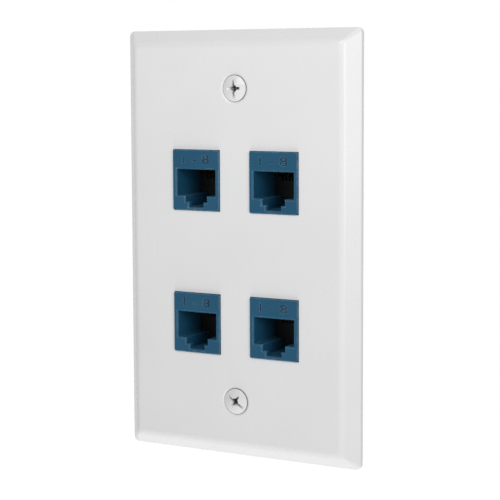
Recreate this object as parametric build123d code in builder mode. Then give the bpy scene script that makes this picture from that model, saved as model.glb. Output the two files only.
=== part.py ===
from build123d import *
from math import atan2, cos, radians, sin, sqrt, tan
import os

# Single-gang wall plate with four keystone couplers and its two mounting screws, in millimetres.
# X runs to the right as seen from the front, Y runs into the wall and Z runs up.
# The origin is the centre of the plate on the wall, so the front of the plate looks along -Y.

# Wall plate
plate_width = 69.85
plate_height = 114.3
plate_depth = 5.1
side_wall = 1.2
bevel_width = 3.65
bevel_rounding = 2.4
rim_rounding = 0.35
rim_corner = 1.5
mitre_corner = 0.8
rim_thickness = 1.8
face_thickness = 2.0
rib_thickness = 1.2
rib_height = 1.7
rib_gap = 3.0

# Keystone ports and the collars behind them
port_columns = 23.4
port_rows = 38.5
port_drop = 2.0
opening_gap = 0.1
passage_gap = 0.2
collar_wall = 1.3
retainer_thickness = 1.8
bar_height = 2.6
catch_gap = 0.1

# Mounting screws and their countersunk bosses
screw_spacing = 83.34
countersink_width = 7.6
countersink_angle = 82
countersink_edge = 0.3
clearance_bore = 4.0
boss_wall = 1.1
head_width = 6.9
head_edge = 0.28
dome_height = 0.9
screw_neck = 3.0
screw_shank = 3.5
screw_length = 19.05
thread_start = 0.5
screw_point = 0.6
seat_gap = 0.02
slot_span = 5.9
slot_width = 0.7
slot_depth = 1.25
recess_span = 4.4
recess_width = 0.8
recess_core = 2.2
recess_depth = 2.0
recess_point = 0.7
recess_taper = 8
upper_recess_turn = -2
lower_recess_turn = -56

# Coupler face and socket, the same at both ends
jack_width = 14.25
jack_height = 16.15
jack_proud = 0.5
jack_corner = 0.5
face_edge = 0.15
mouth_edge = 0.3
label_band = 5.2
socket_wall = 1.2
sill_height = 0.8
cavity_depth = 12.4
latch_way_width = 6.6
latch_way_height = 1.7
lip_notch_width = 4.4
lip_notch_height = 1.35
lip_thickness = 1.6
tongue_way_width = 9.8
tongue_way_height = 3.3
cavity_width = jack_width - 2 * socket_wall
cavity_height = jack_height - label_band - latch_way_height - lip_notch_height - sill_height

# Fixed lug and flexible latch
retainer_reach = 8.2
lug_width = 8.0
tooth_length = 1.1
tooth_ramp = 1.0
tooth_depth = 1.3
shoulder_length = 1.2
shoulder_ramp = 0.5
shoulder_depth = 1.6
latch_width = 7.0
latch_rise = 2.9
latch_catch = 0.9
latch_root_gap = 0.4
latch_root = 1.7
latch_root_height = 1.0
latch_flex = 0.8
latch_flat = 0.4
catch_drop = 0.15
thumb_length = 3.2
thumb_rise = 2.0
thumb_thickness = 2.1

# Rear housing and the snap that joins it to the front one
front_length = 16.5
sleeve_start = 0.3
sleeve_gap = 0.1
sleeve_wall = 1.2
sleeve_corner = 0.8
bump_setback = 1.3
bump_length = 2.0
bump_flat = 0.6
bump_height = 0.7
bump_width = 5.0
window_gap = 0.15

# Contacts, contact blocks and circuit board
board_thickness = 1.2
board_margin = 0.1
contact_count = 8
contact_pitch = 1.016
contact_width = 0.42
contact_thickness = 0.3
contact_gap = 0.02
contact_fall = 2.4
contact_overrun = 0.6
block_gap = 0.1
tongue_width = 9.2
tongue_thickness = 1.3
tongue_height = 1.0
tongue_setback = 1.0
tongue_nose = 0.45
comb_slot_width = 0.6
comb_slot_height = 1.4
comb_slot_depth = 1.2

# Depths along Y, from the front of the couplers to their back
face_y = -plate_depth
jack_y = face_y - jack_proud
pocket_y = face_y + face_thickness
retainer_y = jack_y + retainer_reach
collar_y = retainer_y + retainer_thickness
shoulder_y = collar_y + catch_gap
sleeve_y = shoulder_y + shoulder_length + shoulder_ramp + sleeve_start
board_y = jack_y + front_length
board_back_y = board_y + board_thickness
board_middle = Plane.XZ.offset(-(board_y + board_thickness / 2))
coupler_back_y = board_y + board_back_y - jack_y

# Heights along Z from the centre of a port
jack_top = jack_height / 2
opening_top = jack_top + latch_rise
collar_top = opening_top + bar_height
collar_bottom = -(jack_top + catch_drop + bar_height)
cavity_top = jack_top - label_band
cavity_bottom = cavity_top - cavity_height
latch_way_bottom = cavity_bottom - latch_way_height
lip_notch_bottom = latch_way_bottom - lip_notch_height
tongue_bottom = cavity_top + tongue_height
tongue_top = tongue_bottom + tongue_thickness

# Centres of the ports in X and Z, named as seen from the front
ports = {
    "upper_left": (-port_columns / 2, port_rows / 2 - port_drop),
    "upper_right": (port_columns / 2, port_rows / 2 - port_drop),
    "lower_left": (-port_columns / 2, -port_rows / 2 - port_drop),
    "lower_right": (port_columns / 2, -port_rows / 2 - port_drop),
}


def upright(y):
    """Sketch plane at depth y whose x is X and whose y is Z; it faces the room."""
    return Plane.XZ.offset(-y)


def at_ports(rise=0.0):
    """Locations of the four ports in an upright sketch, all moved up by rise."""
    return Locations(*[(x, z + rise) for x, z in ports.values()])


def rectangle_between(width, low, high):
    """Draw a rectangle in the open sketch, centred across and reaching from low to high."""
    with Locations((0, (low + high) / 2)):
        Rectangle(width, high - low)


# Faceplate: bevelled rim with a rounded crease, hollow back, ribs, bosses and collars
bevel_angle = atan2(plate_depth - side_wall, bevel_width)
bevel_lean = bevel_width / (plate_depth - side_wall)
rounding_run = bevel_rounding * tan(bevel_angle / 2)
rounding_steps = 3


def rounding_section(angle):
    """Inset and height of the crease rounding where its surface leans by angle."""
    inset = bevel_width + rounding_run - bevel_rounding * sin(angle)
    return inset, plate_depth - bevel_rounding * (1 - cos(angle))


collar_width = jack_width + 2 * (passage_gap + collar_wall)
rib_side = port_columns / 2 + collar_width / 2 + rib_gap
rib_rows = [
    port_rows / 2 - port_drop + collar_top + rib_gap,
    -port_drop + (collar_top + collar_bottom) / 2,
    -port_rows / 2 - port_drop + collar_bottom - rib_gap,
]
pocket_straight = side_wall / 2
pocket_lean = bevel_lean * (-pocket_y - pocket_straight)
bevel_inset, bevel_top = rounding_section(bevel_angle)

# Countersunk hole for a screw, with the edge broken by a chamfer
sink_slope = radians(countersink_angle / 2)
with BuildPart() as countersink:
    with BuildSketch(Plane.XY):
        with BuildLine():
            Polyline(
                (0, face_y),
                (countersink_width / 2 + countersink_edge, face_y),
                (
                    countersink_width / 2 - countersink_edge * sin(sink_slope),
                    face_y + countersink_edge * cos(sink_slope),
                ),
                (clearance_bore / 2, face_y + (countersink_width - clearance_bore) / 2 / tan(sink_slope)),
                (clearance_bore / 2, 0),
                (0, 0),
                close=True,
            )
        make_face()
    revolve(axis=Axis.Y)

with BuildPart() as faceplate:
    with BuildSketch(upright(0)):
        RectangleRounded(plate_width, plate_height, rim_corner)
    extrude(amount=side_wall)
    with BuildSketch(upright(-side_wall)):
        RectangleRounded(plate_width, plate_height, rim_corner)
    with BuildSketch(upright(-bevel_top)):
        RectangleRounded(plate_width - 2 * bevel_inset, plate_height - 2 * bevel_inset, mitre_corner)
    loft(ruled=True)
    for step in range(rounding_steps + 1):
        inset, height = rounding_section(bevel_angle * (1 - step / rounding_steps))
        with BuildSketch(upright(-height)):
            RectangleRounded(plate_width - 2 * inset, plate_height - 2 * inset, mitre_corner)
    loft()
    rim_crease = faceplate.edges().filter_by_position(Axis.Y, -side_wall, -side_wall)
    fillet(rim_crease, rim_rounding)

    # The hollow back follows the bevel inside.
    with BuildSketch(upright(0)):
        Rectangle(plate_width - 2 * rim_thickness, plate_height - 2 * rim_thickness)
    extrude(amount=pocket_straight, mode=Mode.SUBTRACT)
    for depth, inset in ((pocket_straight, 0), (-pocket_y, pocket_lean)):
        inset = rim_thickness + inset
        with BuildSketch(upright(-depth)):
            Rectangle(plate_width - 2 * inset, plate_height - 2 * inset)
    loft(ruled=True, mode=Mode.SUBTRACT)

    # Ribs, screw bosses and collars stand on the back of the face.
    with BuildSketch(upright(pocket_y)):
        with Locations((-rib_side, 0), (rib_side, 0)):
            Rectangle(rib_thickness, plate_height - 2 * rim_thickness - 2 * pocket_lean)
        for height in rib_rows:
            with Locations((0, height)):
                Rectangle(plate_width - 2 * rim_thickness - 2 * pocket_lean, rib_thickness)
    extrude(amount=-rib_height)
    with BuildSketch(upright(pocket_y)):
        with Locations((0, screw_spacing / 2), (0, -screw_spacing / 2)):
            Circle(countersink_width / 2 + boss_wall)
    extrude(amount=pocket_y)
    with BuildSketch(upright(pocket_y)):
        with at_ports((collar_top + collar_bottom) / 2):
            Rectangle(collar_width, collar_top - collar_bottom)
    extrude(amount=pocket_y - collar_y)

    # Each collar is open above and below, up to the bars that hold lug and latch.
    with BuildSketch(upright(pocket_y)):
        with at_ports((collar_top + collar_bottom) / 2):
            Rectangle(jack_width + 2 * passage_gap, collar_top - collar_bottom)
    extrude(amount=pocket_y - retainer_y, mode=Mode.SUBTRACT)
    with BuildSketch(upright(retainer_y)):
        with at_ports((opening_top - jack_top - catch_drop) / 2):
            Rectangle(jack_width + 2 * passage_gap, opening_top + jack_top + catch_drop)
    extrude(amount=retainer_y - collar_y, mode=Mode.SUBTRACT)
    with BuildSketch(upright(face_y)):
        with at_ports():
            Rectangle(jack_width + 2 * opening_gap, jack_height + 2 * opening_gap)
    extrude(amount=face_y - pocket_y, mode=Mode.SUBTRACT)

    with Locations((0, 0, screw_spacing / 2), (0, 0, -screw_spacing / 2)):
        add(countersink.part, mode=Mode.SUBTRACT)
faceplate.part.label = "faceplate"

# Mounting screw: oval head with a slot and cross drive, smooth neck and a plain shank of thread size
cone_slope = tan(sink_slope)
cone_radius = countersink_width / 2 - seat_gap / cos(sink_slope)
head_y = face_y + (cone_radius - head_width / 2) / cone_slope
neck_y = face_y + (cone_radius - screw_neck / 2) / cone_slope
dome_y = head_y - head_edge
apex_y = dome_y - dome_height
screw_end_y = head_y + screw_length
apex_plane = Plane((0, apex_y, 0), x_dir=(1, 0, 0), z_dir=(0, 1, 0))
dome_radius = (dome_height**2 + (head_width / 2) ** 2) / (2 * dome_height)
slot_end_y = apex_y + dome_radius - sqrt(dome_radius**2 - (slot_span / 2) ** 2)

# The cross of the drive lies within one cone, so its wings run out, and a smaller cone opens its middle.
with BuildPart() as cross_recess:
    with BuildSketch(apex_plane):
        Rectangle(recess_span, recess_width)
        Rectangle(recess_width, recess_span)
    extrude(amount=recess_depth, taper=recess_taper)
    for top_width, cone_mode in ((recess_span, Mode.INTERSECT), (recess_core, Mode.ADD)):
        with BuildSketch(Plane.XY):
            with BuildLine():
                Polyline(
                    (0, apex_y),
                    (top_width / 2, apex_y),
                    (recess_point / 2, apex_y + recess_depth),
                    (0, apex_y + recess_depth),
                    close=True,
                )
            make_face()
        revolve(axis=Axis.Y, mode=cone_mode)

with BuildPart() as screw:
    with BuildSketch(Plane.XY):
        with BuildLine():
            TangentArc((0, apex_y), (head_width / 2, dome_y), tangent=(1, 0))
            Polyline(
                (head_width / 2, dome_y),
                (head_width / 2, head_y),
                (screw_neck / 2, neck_y),
                (screw_neck / 2, thread_start),
                (screw_shank / 2, thread_start),
                (screw_shank / 2, screw_end_y - screw_point),
                (screw_shank / 2 - screw_point, screw_end_y),
                (0, screw_end_y),
                (0, apex_y),
            )
        make_face()
    revolve(axis=Axis.Y)
    with BuildSketch(Plane.YZ):
        with BuildLine():
            ThreePointArc(
                (slot_end_y, -slot_span / 2), (apex_y + slot_depth, 0), (slot_end_y, slot_span / 2)
            )
            Polyline(
                (slot_end_y, slot_span / 2),
                (apex_y, slot_span / 2),
                (apex_y, -slot_span / 2),
                (slot_end_y, -slot_span / 2),
            )
        make_face()
    extrude(amount=slot_width / 2, both=True, mode=Mode.SUBTRACT)
    add(cross_recess.part, mode=Mode.SUBTRACT)

with BuildPart() as mounting_screws:
    with Locations(Location((0, 0, screw_spacing / 2), (0, upper_recess_turn, 0))):
        add(screw.part)
    with Locations(Location((0, 0, -screw_spacing / 2), (0, lower_recess_turn, 0))):
        add(screw.part)
mounting_screws.part.label = "mounting_screws"

# Space that a plug, its latch and the contacts take in one socket, up to the board
with BuildPart() as socket_hollow:
    with BuildSketch(upright(jack_y)):
        rectangle_between(cavity_width, cavity_bottom, cavity_top)
        rectangle_between(latch_way_width, latch_way_bottom, cavity_bottom)
    extrude(amount=-front_length)
    with BuildSketch(upright(jack_y)):
        rectangle_between(lip_notch_width, lip_notch_bottom, latch_way_bottom)
    extrude(amount=-lip_thickness)
    with BuildSketch(upright(jack_y + lip_thickness)):
        rectangle_between(latch_way_width, lip_notch_bottom, latch_way_bottom)
        rectangle_between(tongue_way_width, cavity_top, cavity_top + tongue_way_height)
    extrude(amount=lip_thickness - front_length)

# Front housing: face, socket, fixed lug below, flexible latch above and snap bumps
tooth_y = retainer_y - catch_gap
latch_peak = opening_top + latch_catch
latch_notch = opening_top - catch_drop
thumb_top = opening_top + thumb_rise
thumb_y = shoulder_y + thumb_length
root_y = pocket_y + latch_root_gap
bump_y = sleeve_y + bump_setback

with BuildPart() as front_housing:
    with BuildSketch(upright(jack_y)):
        RectangleRounded(jack_width, jack_height, jack_corner)
    extrude(amount=-front_length)
    chamfer(front_housing.faces().sort_by(Axis.Y)[0].edges(), face_edge)
    add(socket_hollow.part, mode=Mode.SUBTRACT)
    mouth = front_housing.faces().sort_by(Axis.Y)[0].inner_wires()[0]
    chamfer(mouth.edges(), mouth_edge)

    with BuildSketch(Plane.YZ):
        with BuildLine():
            Polyline(
                (tooth_y - tooth_length - tooth_ramp, -jack_top),
                (tooth_y - tooth_length, -jack_top - tooth_depth),
                (tooth_y, -jack_top - tooth_depth),
                (tooth_y, -jack_top),
                close=True,
            )
        make_face()
        with BuildLine():
            Polyline(
                (shoulder_y, -jack_top),
                (shoulder_y, -jack_top - shoulder_depth),
                (shoulder_y + shoulder_length, -jack_top - shoulder_depth),
                (shoulder_y + shoulder_length + shoulder_ramp, -jack_top),
                close=True,
            )
        make_face()
    extrude(amount=lug_width / 2, both=True)

    with BuildSketch(Plane.YZ):
        with BuildLine():
            Polyline(
                (root_y, jack_top),
                (root_y, jack_top + latch_root_height),
                (tooth_y - latch_flat, latch_peak),
                (tooth_y, latch_peak),
                (tooth_y, latch_notch),
                (shoulder_y, latch_notch),
                (shoulder_y, thumb_top),
                (thumb_y, thumb_top),
                (thumb_y, thumb_top - thumb_thickness),
                (root_y + latch_root, jack_top + latch_flex),
                (root_y + latch_root, jack_top),
                close=True,
            )
        make_face()
    extrude(amount=latch_width / 2, both=True)

    with BuildSketch(Plane.XY):
        for side in (1, -1):
            with BuildLine():
                Polyline(
                    (side * jack_width / 2, bump_y),
                    (side * (jack_width / 2 + bump_height), bump_y),
                    (side * (jack_width / 2 + bump_height), bump_y + bump_flat),
                    (side * jack_width / 2, bump_y + bump_length),
                    close=True,
                )
            make_face()
    extrude(amount=bump_width / 2, both=True)

# Rear housing: sleeve over the front housing and the board, with the rear socket
with BuildPart() as rear_housing:
    with BuildSketch(upright(sleeve_y)):
        sleeve_step = 2 * (sleeve_gap + sleeve_wall)
        RectangleRounded(jack_width + sleeve_step, jack_height + sleeve_step, sleeve_corner)
    extrude(amount=sleeve_y - coupler_back_y)
    with BuildSketch(upright(sleeve_y)):
        Rectangle(jack_width + 2 * sleeve_gap, jack_height + 2 * sleeve_gap)
    extrude(amount=sleeve_y - board_back_y, mode=Mode.SUBTRACT)
    mirror(socket_hollow.part, about=board_middle, mode=Mode.SUBTRACT)
    mouth = rear_housing.faces().sort_by(Axis.Y)[-1].inner_wires()[0]
    chamfer(mouth.edges(), mouth_edge)
    with BuildSketch(Plane.YZ):
        with Locations((bump_y + bump_length / 2, 0)):
            Rectangle(bump_length + 2 * window_gap, bump_width + 2 * window_gap)
    extrude(amount=jack_width, both=True, mode=Mode.SUBTRACT)

# Contact block: base behind the socket, and a tongue that the contacts wrap round
comb_y = jack_y + cavity_depth
tongue_y = jack_y + lip_thickness + tongue_setback
contact_rows = [(i - (contact_count - 1) / 2) * contact_pitch for i in range(contact_count)]

with BuildPart() as front_contact_block:
    with BuildSketch(upright(comb_y)):
        rectangle_between(cavity_width - 2 * block_gap, cavity_bottom + block_gap, cavity_top - block_gap)
        rectangle_between(tongue_width, cavity_top - block_gap, tongue_top)
        rectangle_between(
            latch_way_width - 2 * block_gap, lip_notch_bottom + block_gap, cavity_bottom + block_gap
        )
    extrude(amount=comb_y - board_y)
    with BuildSketch(upright(comb_y)):
        with Locations(*[(x, cavity_top - contact_fall) for x in contact_rows]):
            Rectangle(comb_slot_width, comb_slot_height)
    extrude(amount=-comb_slot_depth, mode=Mode.SUBTRACT)
    with BuildSketch(Plane.YZ):
        with BuildLine():
            Polyline(
                (comb_y, tongue_bottom),
                (comb_y, tongue_top),
                (tongue_y + tongue_nose, tongue_top),
                (tongue_y, tongue_top - tongue_nose),
                (tongue_y, tongue_bottom + tongue_nose),
                (tongue_y + tongue_nose, tongue_bottom),
                close=True,
            )
        make_face()
    extrude(amount=tongue_width / 2, both=True)

# Contacts: flat springs over the tongue, round its nose and down to the comb
contact_lift = contact_thickness / 2 + contact_gap
nose_shift = contact_lift * tan(radians(45 / 2))

with BuildPart() as front_contacts:
    for x in contact_rows:
        with BuildSketch(Plane.YZ.offset(x)):
            with BuildLine():
                Polyline(
                    (board_y, tongue_top + contact_lift),
                    (tongue_y + tongue_nose - nose_shift, tongue_top + contact_lift),
                    (tongue_y - contact_lift, tongue_top - tongue_nose + nose_shift),
                    (tongue_y - contact_lift, tongue_bottom + tongue_nose - nose_shift),
                    (tongue_y + tongue_nose - nose_shift, tongue_bottom - contact_lift),
                    (comb_y + contact_overrun, cavity_top - contact_fall),
                )
            trace(line_width=contact_thickness)
        extrude(amount=contact_width / 2, both=True)

with BuildPart() as rear_contact_block:
    mirror(front_contact_block.part, about=board_middle)

with BuildPart() as rear_contacts:
    mirror(front_contacts.part, about=board_middle)

# Circuit board, clamped between the two housings
with BuildPart() as circuit_board:
    with BuildSketch(upright(board_y)):
        Rectangle(jack_width - 2 * board_margin, jack_height - 2 * board_margin)
    extrude(amount=-board_thickness)

# Every port holds a coupler of the same pieces.
coupler = {
    "front_housing": front_housing.part,
    "rear_housing": rear_housing.part,
    "front_contact_block": front_contact_block.part,
    "rear_contact_block": rear_contact_block.part,
    "circuit_board": circuit_board.part,
    "front_contacts": front_contacts.part,
    "rear_contacts": rear_contacts.part,
}

os.makedirs("parts", exist_ok=True)
export_step(faceplate.part, "parts/faceplate.step")
export_step(mounting_screws.part, "parts/mounting_screws.step")
for port, (x, z) in ports.items():
    for name, piece in coupler.items():
        placed = Location((x, 0, z)) * piece
        placed.label = f"{port}_{name}"
        export_step(placed, f"parts/{port}_{name}.step")
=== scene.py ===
"""Looks of a wall plate with four in-line couplers and its two oval-head screws.

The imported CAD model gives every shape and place. This file dresses each node in a procedural
finish, swaps the screws for threaded ones, engraves plain pin numbers in the front housings,
and sets up the studio with the camera at the photograph's angle.
"""

import logging
import math
from dataclasses import dataclass, field
from enum import Enum

import bmesh
import bpy
import numpy as np
from mathutils import Matrix, Vector


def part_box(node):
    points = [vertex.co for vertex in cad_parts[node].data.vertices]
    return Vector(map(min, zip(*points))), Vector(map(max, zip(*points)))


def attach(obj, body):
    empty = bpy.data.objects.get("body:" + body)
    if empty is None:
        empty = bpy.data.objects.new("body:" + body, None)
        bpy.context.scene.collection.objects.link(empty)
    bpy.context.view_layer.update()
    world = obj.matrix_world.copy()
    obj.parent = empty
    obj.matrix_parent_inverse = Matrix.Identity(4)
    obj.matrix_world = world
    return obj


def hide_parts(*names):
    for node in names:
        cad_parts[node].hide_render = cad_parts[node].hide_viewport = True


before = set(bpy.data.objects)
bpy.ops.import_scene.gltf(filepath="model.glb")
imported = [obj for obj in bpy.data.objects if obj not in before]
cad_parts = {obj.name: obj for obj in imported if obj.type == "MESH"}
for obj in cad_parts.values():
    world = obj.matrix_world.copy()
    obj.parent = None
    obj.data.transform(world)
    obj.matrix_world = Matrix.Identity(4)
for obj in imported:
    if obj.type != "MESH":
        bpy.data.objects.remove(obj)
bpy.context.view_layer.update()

BODY = "root"

# Lengths in metres. SAME_POINT is how near two points of a mesh are when they are one.
MM = 0.001
SCREW_SPACING = 83.34 * MM
CONTACT_PITCH = 1.016 * MM
SAME_POINT = 0.0005 * MM
CREASE_DEGREES = 32.0

Colour = tuple[float, float, float, float]
Piece = bpy.types.Object
Socket = bpy.types.NodeSocket
Sockets = bpy.types.bpy_prop_collection

WHITE: Colour = (1.0, 1.0, 1.0, 1.0)

logging.basicConfig(level=logging.INFO, format="%(message)s")
log = logging.getLogger("faceplate")


class Port(Enum):
    """The four ports, with the centre of each in X and Z, in millimetres."""

    UPPER_LEFT = (-11.7, 17.25)
    UPPER_RIGHT = (11.7, 17.25)
    LOWER_LEFT = (-11.7, -21.25)
    LOWER_RIGHT = (11.7, -21.25)

    @property
    def node_prefix(self) -> str:
        """First part of the names of this port's nodes."""
        return self.name.lower()


class Slot(Enum):
    """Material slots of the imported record."""

    PLATE = "white_plastic"
    SCREW = "white_screw"
    HOUSING = "blue_plastic"
    INSERT = "black_insert"
    BOARD = "green_board"
    CONTACT = "gold_contacts"


def linear(shade: float) -> float:
    """Linear value of one sRGB channel, both from 0 to 1."""
    return shade / 12.92 if shade <= 0.04045 else ((shade + 0.055) / 1.055) ** 2.4


def paint(red: int, green: int, blue: int) -> Colour:
    """Shader colour of an sRGB colour given from 0 to 255."""
    return (linear(red / 255), linear(green / 255), linear(blue / 255), 1.0)


# ---- Node trees


class Graph:
    """A node tree that is being filled, with short calls that add nodes and join them."""

    def __init__(self, tree: bpy.types.NodeTree) -> None:
        """Keeps the tree that later calls add to."""
        self.tree = tree

    def feed(self, value: object, socket: Socket) -> None:
        """Joins a socket to an input, or sets the input to a plain value.

        Args:
            value: the socket or the value.
            socket: the input.
        """
        if isinstance(value, Socket):
            self.tree.links.new(value, socket)
        else:
            socket.default_value = value

    def add(self, kind: str, inputs: dict | None = None, **settings: object) -> bpy.types.Node:
        """Adds a node.

        Args:
            kind: the node's type without its ShaderNode prefix.
            inputs: what each input gets, by the input's name or number.
            settings: the node's own properties.

        Returns:
            The node.
        """
        node = self.tree.nodes.new("ShaderNode" + kind)
        for key, value in settings.items():
            setattr(node, key, value)
        for key, value in (inputs or {}).items():
            self.feed(value, node.inputs[key])
        return node

    def math(self, operation: str, first: object, second: object = 0.0) -> Socket:
        """One step of arithmetic on two values."""
        return self.add("Math", {0: first, 1: second}, operation=operation).outputs[0]

    def blend(self, share: object, first: object, second: object) -> Socket:
        """Mix of two colours, on the node's numbered colour sockets.

        Args:
            share: 0 gives the first colour and 1 the second.
            first: the one colour.
            second: the other colour.

        Returns:
            The mixed colour.
        """
        node = self.add("Mix", data_type="RGBA")
        for socket, value in ((0, share), (6, first), (7, second)):
            self.feed(value, node.inputs[socket])
        return node.outputs[2]

    def spread(self, value: object, low: float, high: float, to_low: object, to_high: object,
               smooth: bool = False) -> Socket:
        """Moves the range low to high onto to_low to to_high and holds it between them.

        Args:
            value: what is moved.
            low: start of the range.
            high: end of the range.
            to_low: what the start becomes.
            to_high: what the end becomes.
            smooth: whether the way between them is an S curve.

        Returns:
            The moved value.
        """
        node = self.add("MapRange", {0: value, 1: low, 2: high, 3: to_low, 4: to_high})
        node.interpolation_type = "SMOOTHSTEP" if smooth else "LINEAR"
        return node.outputs[0]

    def mask(self, value: object, low: float, high: float) -> Socket:
        """0 at low, 1 at high, an S curve between them and held beyond."""
        return self.spread(value, low, high, 0.0, 1.0, True)

    def place(self) -> Socket:
        """Object coordinates, in metres."""
        return self.add("TexCoord").outputs["Object"]

    def facing(self, axis: str) -> Socket:
        """One coordinate of the surface's own normal."""
        return self.along(self.add("TexCoord").outputs["Normal"], axis)

    def along(self, vector: object, axis: str) -> Socket:
        """One coordinate of a vector."""
        return self.add("SeparateXYZ", {0: vector}).outputs[axis]

    def scale(self, size_mm: object) -> Socket:
        """Scale of a texture whose features are about this many millimetres wide."""
        return self.math("DIVIDE", 1.0 / MM, size_mm)

    def noise(self, vector: object, scale: object, detail: float = 2.0,
              rough: float = 0.5) -> Socket:
        """Soft noise from 0 to 1 whose features are about one divided by scale wide."""
        inputs = {"Vector": vector, "Scale": scale, "Detail": detail, "Roughness": rough}
        return self.add("TexNoise", inputs).outputs[0]

    def bump(self, height: object, depth_mm: float, strength: float = 1.0,
             normal: Socket | None = None) -> Socket:
        """Normal of a surface with a fine relief.

        Args:
            height: the relief, from 0 to 1.
            depth_mm: how deep a height of 1 is.
            strength: share of the relief that shows.
            normal: the normal under the relief, where it isn't the surface's own.

        Returns:
            The normal.
        """
        inputs = {"Strength": strength, "Distance": depth_mm * MM, "Height": height}
        if normal is not None:
            inputs["Normal"] = normal
        return self.add("Bump", inputs).outputs[0]

    def group(self, effect: "Effect", **values: float) -> Sockets:
        """Places a shared effect in this tree with values of its own.

        Args:
            effect: the effect.
            values: the group's inputs, by the first word of their names in small letters.

        Returns:
            The group's output sockets, by name.
        """
        node = self.tree.nodes.new("ShaderNodeGroup")
        node.node_tree = effect.tree
        for key, value in values.items():
            self.feed(value, node.inputs[effect.inputs_by_word[key]])
        return node.outputs


class Effect:
    """A shared surface effect: a shader node group with named inputs and outputs."""

    title = ""
    inputs: dict[str, float] = {}
    outputs: tuple[str, ...] = ()

    def __init__(self) -> None:
        """Makes the group with its sockets and lets the subclass fill it."""
        self.tree = bpy.data.node_groups.new(self.title, "ShaderNodeTree")
        self.inputs_by_word = {name.split()[0].lower(): name for name in self.inputs}
        for name, value in self.inputs.items():
            socket = self.tree.interface.new_socket(
                name=name, in_out="INPUT", socket_type="NodeSocketFloat"
            )
            socket.default_value = value
        for name in self.outputs:
            kind = "NodeSocketVector" if name == "Normal" else "NodeSocketFloat"
            self.tree.interface.new_socket(name=name, in_out="OUTPUT", socket_type=kind)
        source = self.tree.nodes.new("NodeGroupInput").outputs
        sink = self.tree.nodes.new("NodeGroupOutput").inputs
        graph = Graph(self.tree)
        for name, socket in self.fill(graph, source).items():
            graph.feed(socket, sink[name])

    def fill(self, graph: Graph, given: Sockets) -> dict[str, Socket]:
        """Builds the effect; each subclass does this.

        Args:
            graph: the group's tree.
            given: the group's inputs, by name.

        Returns:
            The socket for each output, by name.
        """
        raise NotImplementedError


class SparkGrain(Effect):
    """Fine texture of a spark-eroded mould: small soft pits on a finer, rougher noise."""

    title = "spark_grain"
    inputs = {"Size mm": 0.3, "Pits": 0.5}
    outputs = ("Height",)

    def fill(self, graph: Graph, given: Sockets) -> dict[str, Socket]:
        """Height = fine noise + pits x distance to the nearest point of a jittered net.

        Args:
            graph: the group's tree.
            given: Size mm and Pits.

        Returns:
            The socket for Height.
        """
        place = graph.place()
        scale = graph.scale(given["Size mm"])
        fine = graph.noise(place, scale, 3.0, 0.55)
        net = graph.add("TexVoronoi", {"Vector": place, "Scale": scale}, feature="SMOOTH_F1")
        pits = graph.math("MULTIPLY", net.outputs["Distance"], given["Pits"])
        return {"Height": graph.math("ADD", fine, pits)}


class FlowShade(Effect):
    """Slow change of tone and gloss where the melt flowed, from 0 to 1."""

    title = "flow_shade"
    inputs = {"Size mm": 20.0}
    outputs = ("Tone", "Gloss")
    stretch = (1.0, 1.0, 0.35)
    gloss_finer = 1.7
    band = (0.3, 0.7)

    def fill(self, graph: Graph, given: Sockets) -> dict[str, Socket]:
        """Two slow noises, the second one finer and stretched along Z as the flow is.

        Args:
            graph: the group's tree.
            given: Size mm.

        Returns:
            The sockets for Tone and Gloss.
        """
        place = graph.place()
        scale = graph.scale(given["Size mm"])
        tone = graph.noise(place, scale, 2.0, 0.5)
        run = graph.add("Mapping", {"Vector": place, "Scale": self.stretch}).outputs[0]
        gloss = graph.noise(run, graph.math("MULTIPLY", scale, self.gloss_finer), 3.0, 0.6)
        return {"Tone": graph.mask(tone, *self.band), "Gloss": graph.mask(gloss, *self.band)}


class EdgeWear(Effect):
    """Rounded look of moulded edges and where handling has rubbed them; on the housing its mask
    also places a painted highlight.
    """

    title = "edge_wear"
    inputs = {"Radius mm": 0.15, "Patch mm": 2.0}
    outputs = ("Mask", "Normal")
    rays = 6
    lean_from, lean_to = 0.997, 0.92
    patch_band = (0.38, 0.62)
    least = 0.25

    def fill(self, graph: Graph, given: Sockets) -> dict[str, Socket]:
        """Mask = how far the rounded normal leans from the flat one, broken up by noise.

        The lean is read from the dot product of both normals, which falls from 1.

        Args:
            graph: the group's tree.
            given: Radius mm and Patch mm.

        Returns:
            The sockets for Mask and Normal.
        """
        radius = graph.math("MULTIPLY", given["Radius mm"], MM)
        rounded = graph.add("Bevel", {"Radius": radius}, samples=self.rays).outputs[0]
        flat = graph.add("NewGeometry").outputs["Normal"]
        dot = graph.add("VectorMath", {0: rounded, 1: flat}, operation="DOT_PRODUCT")
        lean = graph.mask(dot.outputs["Value"], self.lean_from, self.lean_to)
        patches = graph.noise(graph.place(), graph.scale(given["Patch mm"]), 4.0, 0.65)
        broken = graph.spread(patches, *self.patch_band, self.least, 1.0, True)
        return {"Mask": graph.math("MULTIPLY", lean, broken), "Normal": rounded}


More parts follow.
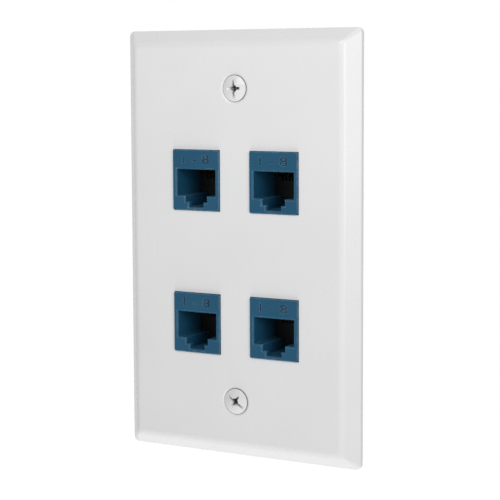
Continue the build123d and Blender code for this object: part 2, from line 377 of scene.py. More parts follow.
class Handling(Effect):
    """Straight hairline scratches and faint smudges, for the gloss and the fine relief."""

    title = "handling"
    inputs = {"Smudge mm": 9.0}
    outputs = ("Scratch", "Smudge")
    angles_and_scales = ((0.5, 700.0), (-0.9, 900.0))
    half_width = 0.008
    patch_scale = 240.0
    patch_band = (0.54, 0.66)
    smudge_band = (0.45, 0.75)

    def hairlines(self, graph: Graph, place: Socket, angle: float, scale: float) -> Socket:
        """One set of parallel hairlines.

        A line runs where a noise of the distance across the set crosses its mean.

        Args:
            graph: the group's tree.
            place: Object coordinates.
            angle: direction across the lines in XZ, in radians from X.
            scale: noise features in a metre.

        Returns:
            1 on the middle of a line and 0 off it.
        """
        direction = (math.cos(angle), 0.0, math.sin(angle))
        across = graph.add("VectorMath", {0: place, 1: direction}, operation="DOT_PRODUCT")
        inputs = {"W": across.outputs["Value"], "Scale": scale, "Detail": 2.0}
        crest = graph.add("TexNoise", inputs, noise_dimensions="1D").outputs[0]
        away = graph.math("ABSOLUTE", graph.math("SUBTRACT", crest, 0.5))
        return graph.spread(away, 0.0, self.half_width, 1.0, 0.0)

    def fill(self, graph: Graph, given: Sockets) -> dict[str, Socket]:
        """Scratch = the denser of two sets of hairlines, in patches; smudge = a slow noise.

        Args:
            graph: the group's tree.
            given: Smudge mm.

        Returns:
            The sockets for Scratch and Smudge.
        """
        place = graph.place()
        lines = [self.hairlines(graph, place, *pair) for pair in self.angles_and_scales]
        few = graph.mask(graph.noise(place, self.patch_scale), *self.patch_band)
        scratch = graph.math("MULTIPLY", graph.math("MAXIMUM", *lines), few)
        slow = graph.noise(place, graph.scale(given["Smudge mm"]))
        return {"Scratch": scratch, "Smudge": graph.mask(slow, *self.smudge_band)}


class SettledDust(Effect):
    """Thin dust on surfaces that face up, in specks and a faint film."""

    title = "settled_dust"
    inputs = {"Speck mm": 0.25}
    outputs = ("Mask",)
    upward = (0.35, 0.95)
    speck_band = (0.6, 0.7)
    film_scale = 350.0
    film_band = (0.35, 0.7)
    film_share = 0.5

    def fill(self, graph: Graph, given: Sockets) -> dict[str, Socket]:
        """Mask = upward share of the normal x the denser of film and sparse specks.

        Args:
            graph: the group's tree.
            given: Speck mm.

        Returns:
            The socket for Mask.
        """
        faces_up = graph.mask(graph.facing("Z"), *self.upward)
        place = graph.place()
        scale = graph.scale(given["Speck mm"])
        specks = graph.mask(graph.noise(place, scale, 2.0, 0.6), *self.speck_band)
        slow = graph.noise(place, self.film_scale, 2.0, 0.6)
        film = graph.spread(slow, *self.film_band, 0.0, self.film_share, True)
        return {"Mask": graph.math("MULTIPLY", faces_up, graph.math("MAXIMUM", specks, film))}


class Effects:
    """The shared effects, each built once."""

    def __init__(self) -> None:
        """Builds every shared node group."""
        self.grain = SparkGrain()
        self.flow = FlowShade()
        self.edges = EdgeWear()
        self.handling = Handling()
        self.dust = SettledDust()


# ---- Finishes


@dataclass(frozen=True)
class Finish:
    """What every finish has: a name and the effects that it may place."""

    name: str
    effects: Effects

    def build(self) -> bpy.types.Material:
        """Makes the material: a fresh tree with one Principled BSDF that the finish wires up.

        Returns:
            The material.
        """
        material = bpy.data.materials.new(self.name)
        material.use_nodes = True
        material.node_tree.nodes.clear()
        graph = Graph(material.node_tree)
        shader = graph.add("BsdfPrincipled")
        output = graph.add("OutputMaterial")
        graph.feed(shader.outputs[0], output.inputs["Surface"])
        self.wire(graph, shader.inputs)
        return material

    def wire(self, graph: Graph, shader: Sockets) -> None:
        """Fills the tree; each finish does this.

        Args:
            graph: the material's tree.
            shader: the Principled BSDF's inputs, by name.
        """
        raise NotImplementedError


@dataclass(frozen=True)
class MouldedPlastic(Finish):
    """Injection-moulded plastic: flow tone, spark grain, rubbed edges lighter from wear and, with
    an edge coat, from a painted highlight, painted shade on an engraving's floor, scratches and
    dust.

    Sizes that end in mm are in millimetres, and the two depths of an engraving in metres along
    Y. Shares and changes of gloss run from 0 to 1.
    """

    colour: Colour
    flow_colour: Colour
    # lighter colour of rubbed edges: wear, and a painted highlight where there is an edge coat
    wear_and_highlight_colour: Colour
    dust_colour: Colour
    roughness: float
    gloss_change: float
    grain_mm: float
    grain_depth_mm: float
    edge_mm: float
    dust_share: float
    specular: float
    marks_share: float = 1.0
    wear_and_highlight_share: float = 0.55
    # edge coat: a glossy coat on the edges that also spreads the lighter edge colour over the whole
    # edge mask, a painted highlight
    edge_coat_and_highlight: float = 0.0
    coat_roughness: float = 0.2
    engraved: tuple[float, float] | None = None
    # painted shade on the engraving's floor: its colour and its share
    engraved_shade_colour: Colour = (0.0, 0.0, 0.0, 1.0)
    engraved_shade_share: float = 0.8
    forwards: float = -0.95
    smudge_roughness: float = 0.05
    scratch_roughness: float = 0.12
    scratch_cut: float = 0.4
    dust_roughness: float = 0.35

    def sunk_floor(self, graph: Graph) -> Socket:
        """Marks the floor of the engraving, where its painted shade goes.

        Args:
            graph: the material's tree.

        Returns:
            1 on faces that look forwards between the two depths, and 0 elsewhere.
        """
        near, far = self.engraved
        depth = graph.along(graph.place(), "Y")
        level = graph.math("GREATER_THAN", depth, near)
        level = graph.math("MULTIPLY", level, graph.math("LESS_THAN", depth, far))
        ahead = graph.math("LESS_THAN", graph.facing("Y"), self.forwards)
        return graph.math("MULTIPLY", level, ahead)

    def wire(self, graph: Graph, shader: Sockets) -> None:
        """Colour, roughness, coat and relief of the plastic.

        Args:
            graph: the material's tree.
            shader: the Principled BSDF's inputs, by name.
        """
        flow = graph.group(self.effects.flow, size=18.0)
        edges = graph.group(self.effects.edges, radius=self.edge_mm, patch=1.6)
        marks = graph.group(self.effects.handling, smudge=8.0)
        dust = graph.group(self.effects.dust, speck=0.22)
        grain = graph.group(self.effects.grain, size=self.grain_mm, pits=0.5)

        tone = graph.blend(flow["Tone"], self.colour, self.flow_colour)
        # painted highlight: with an edge coat the lighter edge colour covers the whole edge mask,
        # on top of the wear
        wear_and_highlight_share = self.wear_and_highlight_share + (1.0 - self.wear_and_highlight_share) * self.edge_coat_and_highlight
        wear_and_highlight = graph.math("MULTIPLY", edges["Mask"], wear_and_highlight_share)
        tone = graph.blend(wear_and_highlight, tone, self.wear_and_highlight_colour)
        # painted shade: the engraving's floor is darkened where shade falls in it
        if self.engraved:
            engraved_shade = graph.math("MULTIPLY", self.sunk_floor(graph), self.engraved_shade_share)
            tone = graph.blend(engraved_shade, tone, self.engraved_shade_colour)
        film = graph.math("MULTIPLY", dust["Mask"], self.dust_share)
        graph.feed(graph.blend(film, tone, self.dust_colour), shader["Base Color"])

        low, high = self.roughness - self.gloss_change, self.roughness + self.gloss_change
        rough = graph.spread(flow["Gloss"], 0.0, 1.0, low, high)
        smudge = graph.math("MULTIPLY", marks["Smudge"], self.smudge_roughness * self.marks_share)
        scratch = graph.math(
            "MULTIPLY", marks["Scratch"], self.scratch_roughness * self.marks_share
        )
        rough = graph.math("ADD", graph.math("ADD", rough, smudge), scratch)
        rough = graph.math("ADD", rough, graph.math("MULTIPLY", film, self.dust_roughness))
        graph.feed(rough, shader["Roughness"])
        shader["Specular IOR Level"].default_value = self.specular
        if self.edge_coat_and_highlight:
            polish = graph.math("MULTIPLY", edges["Mask"], self.edge_coat_and_highlight)
            graph.feed(polish, shader["Coat Weight"])
            shader["Coat Roughness"].default_value = self.coat_roughness

        cut = graph.math("MULTIPLY", marks["Scratch"], -self.scratch_cut * self.marks_share)
        height = graph.math("ADD", grain["Height"], cut)
        relief = graph.bump(height, self.grain_depth_mm, normal=edges["Normal"])
        graph.feed(relief, shader["Normal"])


@dataclass(frozen=True)
class PaintedScrew(Finish):
    """White enamel on the head, thin in its drive, with painted shade deep in the drive and a
    painted shadow round the rim, and bare zinc plate behind it.

    The paint ends between paint_front and paint_back along Y. The head's dome stands at front
    on its axis and bends back by dome_bend times the squared distance from it. Lengths are in
    metres.
    """

    colour: Colour
    primer: Colour
    zinc: Colour
    zinc_dark: Colour
    # colour of the painted shade in the drive and the painted shadow round the rim
    painted_shade_colour: Colour
    paint_front: float
    paint_back: float
    front: float
    dome_bend: float
    rim: float
    spacing: float = SCREW_SPACING
    border: float = 0.25 * MM
    border_scale: float = 1800.0
    # where and how dark the painted shade in the drive and round the rim is
    drive_shade_depths: tuple[float, float] = (0.3 * MM, 1.3 * MM)
    rim_shade_band: tuple[float, float] = (0.08 * MM, 0.01 * MM)
    drive_shade_share: float = 0.9
    rim_shade_share: float = 0.8
    primer_share: float = 0.3
    roughness: tuple[float, float] = (0.16, 0.24)
    scratch_roughness: float = 0.2
    zinc_roughness: float = 0.14

    def dirt(self, graph: Graph, place: Socket) -> Socket:
        """Painted shade deep in the drive and a painted shadow round the rim of the head.

        The depth under the dome is y - front - bend x squared distance from the nearest axis,
        and the rim is where that distance comes near the head's radius.

        Args:
            graph: the material's tree.
            place: Object coordinates.

        Returns:
            The painted shade, from 0 to 1.
        """
        parts = graph.add("SeparateXYZ", {0: place}).outputs
        rise = graph.math("SUBTRACT", graph.math("ABSOLUTE", parts["Z"]), self.spacing / 2)
        squares = [graph.math("MULTIPLY", side, side) for side in (parts["X"], rise)]
        away = graph.math("ADD", *squares)
        dome = graph.math("MULTIPLY", away, self.dome_bend)
        sunk = graph.math("SUBTRACT", graph.math("SUBTRACT", parts["Y"], self.front), dome)
        drive = graph.spread(sunk, *self.drive_shade_depths, 0.0, self.drive_shade_share, True)
        low, high = ((self.rim - short) ** 2 for short in self.rim_shade_band)
        return graph.math("MAXIMUM", drive, graph.spread(away, low, high, 0.0, self.rim_shade_share))

    def wire(self, graph: Graph, shader: Sockets) -> None:
        """Paint and plate are told apart by the depth along Y, with a ragged border.

        Args:
            graph: the material's tree.
            shader: the Principled BSDF's inputs, by name.
        """
        place = graph.place()
        depth = graph.along(place, "Y")
        noise = graph.noise(place, self.border_scale, 3.0)
        ragged = graph.spread(noise, 0.3, 0.7, -self.border, self.border)
        bare = graph.spread(
            graph.math("ADD", depth, ragged), self.paint_front, self.paint_back, 0.0, 1.0
        )
        edges = graph.group(self.effects.edges, radius=0.1, patch=0.7)
        flow = graph.group(self.effects.flow, size=3.0)
        marks = graph.group(self.effects.handling, smudge=3.0)
        grain = graph.group(self.effects.grain, size=0.55, pits=0.2)

        thin = graph.math("MULTIPLY", edges["Mask"], self.primer_share)
        enamel = graph.blend(thin, self.colour, self.primer)
        # painted shade deep in the drive and painted shadow round the head's rim
        enamel = graph.blend(self.dirt(graph, place), enamel, self.painted_shade_colour)
        plate = graph.blend(flow["Tone"], self.zinc, self.zinc_dark)
        graph.feed(graph.blend(bare, enamel, plate), shader["Base Color"])
        graph.feed(bare, shader["Metallic"])

        rough = graph.spread(flow["Gloss"], 0.0, 1.0, *self.roughness)
        for mask, rise in ((marks["Scratch"], self.scratch_roughness), (bare, self.zinc_roughness)):
            rough = graph.math("ADD", rough, graph.math("MULTIPLY", mask, rise))
        graph.feed(rough, shader["Roughness"])
        relief = graph.bump(grain["Height"], 0.006, normal=edges["Normal"])
        graph.feed(relief, shader["Normal"])


@dataclass(frozen=True)
class BoardLaminate(Finish):
    """Circuit board: green mask over copper tracks, with the glass weave at its cut edges."""

    mask: Colour
    track: Colour
    edge: Colour
    pitch: float = CONTACT_PITCH
    track_band: tuple[float, float] = (0.17, 0.22)
    track_share: float = 0.7
    weave_scale: float = 3500.0
    mask_roughness: tuple[float, float] = (0.22, 0.32)
    cut_roughness: float = 0.7

    def wire(self, graph: Graph, shader: Sockets) -> None:
        """Tracks run up the faces at the contacts' pitch; the edges show bare laminate.

        Args:
            graph: the material's tree.
            shader: the Principled BSDF's inputs, by name.
        """
        place = graph.place()
        wave = graph.math("FRACT", graph.math("DIVIDE", graph.along(place, "X"), self.pitch))
        away = graph.math("ABSOLUTE", graph.math("SUBTRACT", wave, 0.5))
        track = graph.spread(away, *self.track_band, 1.0, 0.0, True)
        face = graph.spread(graph.math("ABSOLUTE", graph.facing("Y")), 0.4, 0.6, 0.0, 1.0)
        flow = graph.group(self.effects.flow, size=6.0)
        mask = graph.blend(graph.math("MULTIPLY", track, self.track_share), self.mask, self.track)
        weave = graph.noise(place, self.weave_scale, 2.0, 0.7)
        cut = graph.blend(graph.spread(weave, 0.35, 0.65, 0.0, 0.5), self.edge, self.mask)
        graph.feed(graph.blend(face, cut, mask), shader["Base Color"])
        glossy = graph.spread(flow["Gloss"], 0.0, 1.0, *self.mask_roughness)
        rough = graph.spread(face, 0.0, 1.0, self.cut_roughness, glossy)
        graph.feed(rough, shader["Roughness"])
        height = graph.math("ADD", graph.math("MULTIPLY", track, face), weave)
        graph.feed(graph.bump(height, 0.02, 0.8), shader["Normal"])


@dataclass(frozen=True)
class GoldPlate(Finish):
    """Thin gold over nickel, with wipe marks along the springs and nickel at the corners."""

    gold: Colour
    deep_gold: Colour
    nickel: Colour
    nickel_share: float = 0.35
    wipe_scale: tuple[float, float, float] = (9000.0, 500.0, 9000.0)
    roughness: tuple[float, float] = (0.18, 0.34)

    def wire(self, graph: Graph, shader: Sockets) -> None:
        """Colour from slow tone and rubbed corners; gloss from marks drawn along Y.

        Args:
            graph: the material's tree.
            shader: the Principled BSDF's inputs, by name.
        """
        flow = graph.group(self.effects.flow, size=1.8)
        edges = graph.group(self.effects.edges, radius=0.05, patch=0.5)
        tone = graph.blend(flow["Tone"], self.gold, self.deep_gold)
        bare = graph.math("MULTIPLY", edges["Mask"], self.nickel_share)
        graph.feed(graph.blend(bare, tone, self.nickel), shader["Base Color"])
        shader["Metallic"].default_value = 1.0
        drawn = graph.add("Mapping", {"Vector": graph.place(), "Scale": self.wipe_scale})
        wipe = graph.noise(drawn.outputs[0], 1.0)
        graph.feed(graph.spread(wipe, 0.3, 0.7, *self.roughness), shader["Roughness"])
        graph.feed(graph.bump(wipe, 0.003, 0.6, edges["Normal"]), shader["Normal"])


class Palette:
    """All finishes of the plate, one for each material slot."""

    def __init__(self) -> None:
        """Builds the shared effects and then every material."""
        effects = Effects()
        finishes = {
            Slot.PLATE: MouldedPlastic(
                "plate_gloss_white", effects,
                colour=paint(243, 243, 244), flow_colour=paint(241, 241, 242),
                wear_and_highlight_colour=paint(246, 246, 246), dust_colour=paint(214, 211, 205),
                roughness=0.27, gloss_change=0.006, grain_mm=0.5, grain_depth_mm=0.003,
                edge_mm=0.12, dust_share=0.06, specular=0.5, marks_share=0.12,
            ),
            Slot.SCREW: PaintedScrew(
                "screw_white_enamel", effects,
                colour=paint(236, 236, 236), primer=paint(196, 196, 194),
                zinc=paint(188, 190, 193), zinc_dark=paint(150, 152, 156),
                # the darkest colour here is painted shade in the drive and round the head's rim
                painted_shade_colour=paint(52, 50, 48), paint_front=-3.4 * MM, paint_back=-3.0 * MM,
                front=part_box("mounting_screws")[0].y, dome_bend=75.0, rim=3.45 * MM,
            ),
            Slot.HOUSING: MouldedPlastic(
                "housing_matt_blue", effects,
                colour=paint(32, 87, 117), flow_colour=paint(27, 82, 112),
                # lighter edge colour here: wear and a painted highlight on the lips of the mouths
                wear_and_highlight_colour=paint(112, 154, 177), dust_colour=paint(150, 156, 158),
                roughness=0.42, gloss_change=0.05, grain_mm=0.22, grain_depth_mm=0.012,
                edge_mm=0.17, dust_share=0.1, specular=0.25, edge_coat_and_highlight=1.0,
                # the engraving's colour is painted shade on its floor
                engraved=(-5.5 * MM, -5.3 * MM), engraved_shade_colour=paint(12, 40, 57),
            ),
            Slot.INSERT: MouldedPlastic(
                "insert_black", effects,
                colour=paint(18, 19, 21), flow_colour=paint(14, 15, 17),
                wear_and_highlight_colour=paint(48, 50, 53), dust_colour=paint(110, 108, 104),
                roughness=0.46, gloss_change=0.06, grain_mm=0.18, grain_depth_mm=0.014,
                edge_mm=0.08, dust_share=0.15, specular=0.25,
            ),
            Slot.BOARD: BoardLaminate(
                "board_green_mask", effects,
                mask=paint(22, 92, 54), track=paint(52, 132, 74), edge=paint(168, 158, 104),
            ),
            Slot.CONTACT: GoldPlate(
                "contact_gold", effects,
                gold=paint(214, 168, 84), deep_gold=paint(184, 134, 58),
                nickel=paint(198, 190, 172),
            ),
        }
        self.materials = {slot: finish.build() for slot, finish in finishes.items()}

    def dress(self, piece: Piece, slot: Slot) -> None:
        """Gives all of a piece's faces the finish of a slot.

        Args:
            piece: a CAD node or a piece of this file.
            slot: the slot.
        """
        if not piece.material_slots:
            piece.data.materials.append(None)
        for holder in piece.material_slots:
            holder.material = self.materials[slot]


# ---- Mesh helpers


def linked(name: str, data: object) -> Piece:
    """Makes an object of a mesh, curve, lamp or camera and puts it into the scene.

    Args:
        name: the object's name.
        data: what it shows.

    Returns:
        The object, at the origin.
    """
    thing = bpy.data.objects.new(name, data)
    bpy.context.scene.collection.objects.link(thing)
    return thing


def evaluated_mesh(thing: Piece) -> bpy.types.Mesh:
    """New mesh of an object with its modifiers, or of a text."""
    graph = bpy.context.evaluated_depsgraph_get()
    return bpy.data.meshes.new_from_object(thing.evaluated_get(graph))


def points_of(mesh: bpy.types.Mesh) -> np.ndarray:
    """The mesh's points, one row each."""
    flat = np.empty(len(mesh.vertices) * 3)
    mesh.vertices.foreach_get("co", flat)
    return flat.reshape(-1, 3)


def grid_faces(rows: int, columns: int, closed: bool) -> np.ndarray:
    """Quads of a grid of points that are numbered row by row.

    Each quad joins point (i, j) to (i, j + 1), (i + 1, j + 1) and (i + 1, j), and in a closed
    grid the last column joins the first one.

    Args:
        rows: number of rows.
        columns: number of points in a row.
        closed: whether each row is a ring.

    Returns:
        An array of quads, four point numbers each.
    """
    i = np.arange(rows - 1)[:, None] * columns
    j = np.arange(columns if closed else columns - 1)[None, :]
    k = (j + 1) % columns
    return np.stack([i + j, i + k, i + columns + k, i + columns + j], -1).reshape(-1, 4)


def merged_copy(node: str, name: str) -> bmesh.types.BMesh:
    """Copy of a CAD node's mesh with its loose triangles joined.

    Args:
        node: the CAD node.
        name: what the log calls the copy.

    Returns:
        The copy as an editable mesh.
    """
    work = bmesh.new()
    work.from_mesh(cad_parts[node].data)
    bmesh.ops.remove_doubles(work, verts=work.verts, dist=SAME_POINT)
    log.info("%s: copied %s, %d points", name, node, len(work.verts))
    return work


def clean(mesh: bpy.types.Mesh, reach: float) -> None:
    """Merges a mesh's close points, drops its loose ones and turns its faces outwards.

    Args:
        mesh: the mesh.
        reach: points closer than this become one.
    """
    work = bmesh.new()
    work.from_mesh(mesh)
    bmesh.ops.remove_doubles(work, verts=work.verts, dist=reach)
    loose = [vertex for vertex in work.verts if not vertex.link_faces]
    bmesh.ops.delete(work, geom=loose, context="VERTS")
    bmesh.ops.recalc_face_normals(work, faces=work.faces)
    work.to_mesh(mesh)
    work.free()


def finish_mesh(mesh: bpy.types.Mesh, name: str) -> Piece:
    """Puts a mesh into the scene as a piece with smooth faces and sharp creases.

    Args:
        mesh: the mesh, already in its place.
        name: the piece's name.

    Returns:
        The piece.
    """
    mesh.polygons.foreach_set("use_smooth", np.ones(len(mesh.polygons), bool))
    mesh.set_sharp_from_angle(angle=math.radians(CREASE_DEGREES))
    mesh.update()
    log.info("%s: %d faces", name, len(mesh.polygons))
    return linked(name, mesh)


# ---- Pieces


@dataclass
class ScrewThreads:
    """Both mounting screws with a rolled thread in place of the plain shank.

    The heads, recesses and necks are the CAD node's own. Behind the neck the shank is a ridge
    of one pitch carried along a helix. Knots are the places of the ridge's corners in a pitch,
    and ridge their heights, from 0 at the root to 1 at the crest.
    """

    pitch: float = 0.794 * MM
    crest: float = 1.75 * MM
    root: float = 1.33 * MM
    start: float = 0.5 * MM
    point: float = 0.6 * MM
    spacing: float = SCREW_SPACING
    per_turn: int = 36
    overlap: float = 0.12 * MM
    cut_ahead: float = 0.05 * MM
    fade_turns: float = 0.8
    cap_rings: tuple[float, float, float] = (1.02, 0.5, 0.001)
    cap_inset: float = 0.001 * MM
    least_normal: float = 1e-13
    knots: np.ndarray = field(default_factory=lambda: np.array([0.0, 0.125, 0.4375, 0.5625, 0.875]))
    ridge: np.ndarray = field(default_factory=lambda: np.array([0.0, 0.0, 1.0, 1.0, 0.0]))

    def helix(self, centre_z: float, end: float) -> tuple[np.ndarray, np.ndarray]:
        """Surface of one threaded shank.

        The point at turn t and knot k of the profile lies at depth start + (t + k) x pitch, held
        between the start and the end, at the angle of one round per turn. Its radius is the root
        plus the ridge's height, which fades in over the first turn, and it is held under a cone
        at the point. The last knot of a turn is joined to the first one of the next, so the
        strip closes on itself.

        Args:
            centre_z: height of the screw's axis.
            end: depth of the screw's point.

        Returns:
            The points, and the quads between them.
        """
        turns = math.ceil((end - self.start) / self.pitch) + 1
        samples = turns * self.per_turn + 1
        turn = np.arange(samples)[:, None] / self.per_turn - 1.0
        depth = self.start + (turn + self.knots[None, :]) * self.pitch
        fade = np.clip((turn + self.knots[None, :]) / self.fade_turns, 0.0, 1.0)
        radius = self.root + (self.crest - self.root) * self.ridge[None, :] * fade
        cone = self.crest - np.clip(depth - (end - self.point), 0.0, self.point)
        radius = np.minimum(radius, cone)
        depth = np.clip(depth, self.start - self.overlap, end)
        angle = np.broadcast_to(2 * np.pi * turn, depth.shape)
        points = np.stack([radius * np.sin(angle), depth, centre_z + radius * np.cos(angle)], -1)

        width = len(self.knots)
        number = np.arange(samples * width).reshape(samples, width)
        last = samples - self.per_turn
        across = np.stack(
            [number[: last - 1, -1], number[self.per_turn : samples - 1, 0],
             number[self.per_turn + 1 :, 0], number[1:last, -1]], -1
        )
        return points.reshape(-1, 3), np.concatenate([grid_faces(samples, width, False), across])

    def cap(self, centre_z: float, end: float) -> tuple[np.ndarray, np.ndarray]:
        """Flat end of a shank: rings of shrinking radius in the plane of the point.

        Args:
            centre_z: height of the screw's axis.
            end: depth of the screw's point.

        Returns:
            The points, and the quads between them.
        """
        rings = len(self.cap_rings)
        angle = np.linspace(0, 2 * np.pi, self.per_turn, endpoint=False)[None, :]
        radius = (self.crest - self.point) * np.array(self.cap_rings)[:, None]
        depth = np.broadcast_to(end - self.cap_inset, (rings, self.per_turn))
        points = np.stack([radius * np.sin(angle), depth, centre_z + radius * np.cos(angle)], -1)
        return points.reshape(-1, 3), grid_faces(rings, self.per_turn, True)

    def heads(self) -> bpy.types.Mesh:
        """Copy of the CAD screws with their shanks cut off behind the necks and closed.

        Returns:
            The mesh.
        """
        work = merged_copy("mounting_screws", "threaded_screws")
        everything = work.verts[:] + work.edges[:] + work.faces[:]
        bmesh.ops.bisect_plane(
            work, geom=everything, dist=0.0001 * MM, plane_co=(0, self.start - self.cut_ahead, 0),
            plane_no=(0, 1, 0), clear_outer=True,
        )
        rims = [edge for edge in work.edges if edge.is_boundary]
        bmesh.ops.holes_fill(work, edges=rims, sides=0)
        bmesh.ops.recalc_face_normals(work, faces=work.faces)
        mesh = bpy.data.meshes.new("threaded_screws")
        work.to_mesh(mesh)
        work.free()
        return mesh

    def build(self) -> Piece:
        """Adds the threaded shanks to the heads; quads without an area are left out.

        Returns:
            The piece, in place.
        """
        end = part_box("mounting_screws")[1].y
        mesh = self.heads()
        points = [points_of(mesh)]
        faces = [list(polygon.vertices) for polygon in mesh.polygons]
        count = len(points[0])
        for centre_z in (self.spacing / 2, -self.spacing / 2):
            for part, quads in (self.helix(centre_z, end), self.cap(centre_z, end)):
                a, b, c, d = (part[quads[:, corner]] for corner in range(4))
                wide = np.linalg.norm(np.cross(c - a, d - b), axis=1) > self.least_normal
                points.append(part)
                faces += (quads[wide] + count).tolist()
                count += len(part)
        mesh.clear_geometry()
        mesh.from_pydata(np.concatenate(points), [], faces)
        clean(mesh, SAME_POINT)
        return finish_mesh(mesh, "threaded_screws")


@dataclass
class NumberedHousing:
    """Front housing of one port, with plain pin numbers engraved in its label band."""

    port: Port
    text: str = "1 - 8"
    letter_height: float = 2.3 * MM
    line_width: float = 8.2 * MM
    centre_height: float = 5.6 * MM
    depth: float = 0.22 * MM
    face_y: float = -5.6 * MM
    letter_steps: int = 4
    letter_point: float = 0.002 * MM
    lean: float = 0.03

    def cutter(self) -> Piece:
        """Solid of the numbers, through the face and as deep as the engraving.

        The text's box is moved to its middle and scaled to the line's width and height, and each
        point goes to the depth in front of the face or behind it, by the side it is on.

        Returns:
            A scratch object in place.
        """
        curve = bpy.data.curves.new("numbers", "FONT")
        curve.body = self.text
        curve.align_x, curve.align_y = "CENTER", "CENTER"
        curve.resolution_u = self.letter_steps
        curve.extrude = 1.0
        text = linked("numbers", curve)
        mesh = evaluated_mesh(text)
        bpy.data.objects.remove(text)
        raw = points_of(mesh)
        low, high = raw.min(0), raw.max(0)
        across, up, _ = ((raw - (low + high) / 2) / (high - low)).T
        x, z = self.port.value
        placed = np.stack(
            [
                x * MM + across * self.line_width,
                self.face_y - np.sign(raw[:, 2]) * self.depth,
                z * MM + self.centre_height + up * self.letter_height,
            ],
            -1,
        )
        mesh.vertices.foreach_set("co", placed.ravel())
        clean(mesh, self.letter_point)
        return linked("number_cutter", mesh)

    def build(self) -> Piece:
        """Copies the CAD housing and takes the numbers out of its face.

        Faces are shaded flat, and smooth only on a rounded corner that runs from front to back,
        where the normal leans in X and in Z but not in Y.

        Returns:
            The piece, in place.
        """
        name = f"{self.port.node_prefix}_numbered_housing"
        work = merged_copy(f"{self.port.node_prefix}_front_housing", name)
        mesh = bpy.data.meshes.new(name)
        work.to_mesh(mesh)
        work.free()
        blank = linked(name + "_blank", mesh)
        solid = self.cutter()
        cut = blank.modifiers.new("engrave", "BOOLEAN")
        cut.operation, cut.solver, cut.object = "DIFFERENCE", "EXACT", solid
        done = evaluated_mesh(blank)
        for scratch in (blank, solid):
            bpy.data.objects.remove(scratch)
        piece = finish_mesh(done, name)
        flat = np.empty(len(done.polygons) * 3)
        done.polygons.foreach_get("normal", flat)
        along_x, along_y, along_z = np.abs(flat.reshape(-1, 3)).T
        rounded = (along_x > self.lean) & (along_z > self.lean) & (along_y < self.lean)
        done.polygons.foreach_set("use_smooth", rounded)
        done.update()
        return piece


@dataclass
class Coupler:
    """One coupler: numbered front housing and the CAD nodes behind it."""

    port: Port

    def dress(self, palette: Palette) -> None:
        """Dresses the CAD nodes and puts the numbered housing in place of the plain one.

        Args:
            palette: the finishes.
        """
        prefix = self.port.node_prefix
        parts = {
            "front_housing": Slot.HOUSING,
            "rear_housing": Slot.HOUSING,
            "front_contact_block": Slot.INSERT,
            "rear_contact_block": Slot.INSERT,
            "circuit_board": Slot.BOARD,
            "front_contacts": Slot.CONTACT,
            "rear_contacts": Slot.CONTACT,
        }
        for part, slot in parts.items():
            palette.dress(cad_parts[f"{prefix}_{part}"], slot)
        housing = NumberedHousing(self.port).build()
        palette.dress(housing, Slot.HOUSING)
        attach(housing, BODY)
        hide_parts(f"{prefix}_front_housing")
        log.info("%s coupler dressed", prefix)


@dataclass
class WallPlate:
    """The bevelled plate and its two screws."""

    threads: ScrewThreads = field(default_factory=ScrewThreads)

    def dress(self, palette: Palette) -> None:
        """Dresses the plate and puts the threaded screws in place of the plain ones.

        Args:
            palette: the finishes.
        """
        palette.dress(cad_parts["faceplate"], Slot.PLATE)
        palette.dress(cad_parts["mounting_screws"], Slot.SCREW)
        screws = self.threads.build()
        palette.dress(screws, Slot.SCREW)
        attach(screws, BODY)
        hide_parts("mounting_screws")
        log.info("plate and screws dressed")


# ---- Studio


@dataclass(frozen=True)
class Lamp:
    """A square soft lamp that looks at the origin; lengths in metres and power in watts."""

    name: str
    place: tuple[float, float, float]
    size: float
    power: float
    mirrored: bool = True

    def build(self) -> None:
        """Adds the lamp to the scene; one that isn't mirrored stays out of reflections."""
        data = bpy.data.lights.new(self.name, "AREA")
        data.shape = "SQUARE"
        data.size = self.size
        data.energy = self.power
        lamp = linked(self.name, data)
        lamp.location = self.place
        lamp.rotation_euler = Vector(self.place).to_track_quat("Z", "Y").to_euler()
        lamp.visible_camera = False
        lamp.visible_glossy = self.mirrored
        log.info("%s lamp placed", self.name)


@dataclass(frozen=True)
class Camera:
    """The photograph's camera.

    Angles are in degrees, its place and sensor in millimetres, its picture in pixels and the
    range that it clips in metres.
    """

    yaw: float = 29.146
    pitch: float = 5.582
    roll: float = -0.253
    focal_px: float = 1530.0
    place: tuple[float, float, float] = (197.74, -355.38, 45.81)
    centre_px: tuple[float, float] = (242.8, 222.1)
    frame_px: float = 500.0
    sensor: float = 36.0
    clip: tuple[float, float] = (0.01, 20.0)

    def build(self) -> None:
        """Adds the camera, with a small shift for the centre of the photograph's picture.

        It looks ahead along +Y, turned left by the yaw and down by the pitch, and is then
        rolled about that line.
        """
        yaw, pitch, roll = (math.radians(a) for a in (self.yaw, self.pitch, self.roll))
        ahead = Vector((-math.sin(yaw) * math.cos(pitch), math.cos(yaw) * math.cos(pitch),
                        -math.sin(pitch)))
        right = Vector((math.cos(yaw), math.sin(yaw), 0.0))
        up = right.cross(ahead)
        turned_right = math.cos(roll) * right + math.sin(roll) * up
        turned_up = -math.sin(roll) * right + math.cos(roll) * up
        data = bpy.data.cameras.new("photo_camera")
        data.sensor_width = self.sensor
        data.lens = self.focal_px * self.sensor / self.frame_px
        data.shift_x = (self.frame_px / 2 - self.centre_px[0]) / self.frame_px
        data.shift_y = (self.centre_px[1] - self.frame_px / 2) / self.frame_px
        data.clip_start, data.clip_end = self.clip
        camera = linked("photo_camera", data)
        turn = Matrix((turned_right, turned_up, -ahead)).transposed().to_4x4()
        camera.matrix_world = Matrix.Translation(Vector(self.place) * MM) @ turn
        bpy.context.scene.camera = camera
        log.info("camera placed")


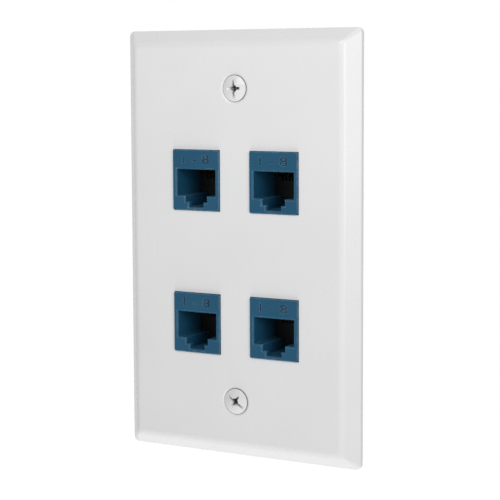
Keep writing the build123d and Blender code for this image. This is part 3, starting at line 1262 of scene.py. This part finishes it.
@dataclass(frozen=True)
class Studio:
    """Pale floor, white surroundings and soft lamps.

    The floor reflects floor_pale of the light that falls on it, and floor_bright of it where
    the floor itself is seen, so that it looks white there and still keeps a shadow.
    """

    floor_height: float = -0.9
    floor_size: float = 6.0
    floor_steps: int = 9
    floor_pale: float = 1.0
    floor_bright: float = 3.2
    ambient: float = 0.34
    lamps: tuple[Lamp, ...] = (
        Lamp("high_softbox", (0.024, -0.220, 0.188), 0.16, 0.243),
        Lamp("right_softbox", (0.40, -0.26, 0.08), 0.24, 0.72),
        Lamp("low_softbox", (0.008, -0.150, -0.620), 0.30, 1.82, mirrored=False),
        Lamp("rear_softbox", (-0.14, 0.42, 0.28), 0.36, 1.30, mirrored=False),
    )

    @staticmethod
    def seen(graph: Graph) -> Socket:
        """Tells what is seen from what only gives light.

        Args:
            graph: the material's or the world's tree.

        Returns:
            1 for rays from the camera, a reflection or a refraction, and 0 for other light.
        """
        path = graph.add("LightPath").outputs
        both = graph.math("MAXIMUM", path["Is Camera Ray"], path["Is Glossy Ray"])
        return graph.math("MAXIMUM", both, path["Is Transmission Ray"])

    @staticmethod
    def mixed(graph: Graph, share: Socket, first: bpy.types.Node,
              second: bpy.types.Node) -> Socket:
        """Mix of two shaders; share 0 gives the first one and 1 the second."""
        inputs = {0: share, 1: first.outputs[0], 2: second.outputs[0]}
        return graph.add("MixShader", inputs).outputs[0]

    def surroundings(self) -> None:
        """World: white where it is seen, and elsewhere even soft light of the ambient level."""
        world = bpy.data.worlds.new("surroundings")
        world.use_nodes = True
        world.node_tree.nodes.clear()
        graph = Graph(world.node_tree)
        soft = graph.add("Background", {"Color": WHITE, "Strength": self.ambient})
        white = graph.add("Background", {"Color": WHITE, "Strength": 1.0})
        output = graph.add("OutputWorld")
        graph.feed(self.mixed(graph, self.seen(graph), soft, white), output.inputs["Surface"])
        bpy.context.scene.world = world

    def paper(self) -> bpy.types.Material:
        """Matt paper of the floor, seen through from below.

        Returns:
            The material.
        """
        material = bpy.data.materials.new("floor_paper")
        material.use_nodes = True
        material.node_tree.nodes.clear()
        graph = Graph(material.node_tree)
        pale, bright = (
            graph.add("BsdfDiffuse", {"Color": (level, level, level, 1.0)})
            for level in (self.floor_pale, self.floor_bright)
        )
        above = self.mixed(graph, self.seen(graph), pale, bright)
        clear = graph.add("BsdfTransparent")
        below = graph.add("NewGeometry").outputs["Backfacing"]
        mix = graph.add("MixShader", {0: below, 1: above, 2: clear.outputs[0]})
        output = graph.add("OutputMaterial")
        graph.feed(mix.outputs[0], output.inputs["Surface"])
        return material

    def floor(self) -> None:
        """Flat square grid under the object, at the floor's height."""
        side = np.linspace(-self.floor_size / 2, self.floor_size / 2, self.floor_steps)
        x, y = np.meshgrid(side, side, indexing="xy")
        points = np.stack([x, y, np.full_like(x, self.floor_height)], -1).reshape(-1, 3)
        quads = grid_faces(self.floor_steps, self.floor_steps, False)
        mesh = bpy.data.meshes.new("floor")
        mesh.from_pydata(points, [], quads.tolist())
        mesh.materials.append(self.paper())
        floor = linked("floor", mesh)
        log.info("floor laid")

    def build(self) -> None:
        """Sets the view transform and builds the surroundings, the floor and the lamps."""
        bpy.context.scene.view_settings.view_transform = "Standard"
        self.surroundings()
        self.floor()
        for lamp in self.lamps:
            lamp.build()


def main() -> None:
    """Builds everything in order."""
    Camera().build()
    Studio().build()
    palette = Palette()
    WallPlate().dress(palette)
    for port in Port:
        Coupler(port).dress(palette)
    log.info("sizes written")


if __name__ == "__main__":
    main()
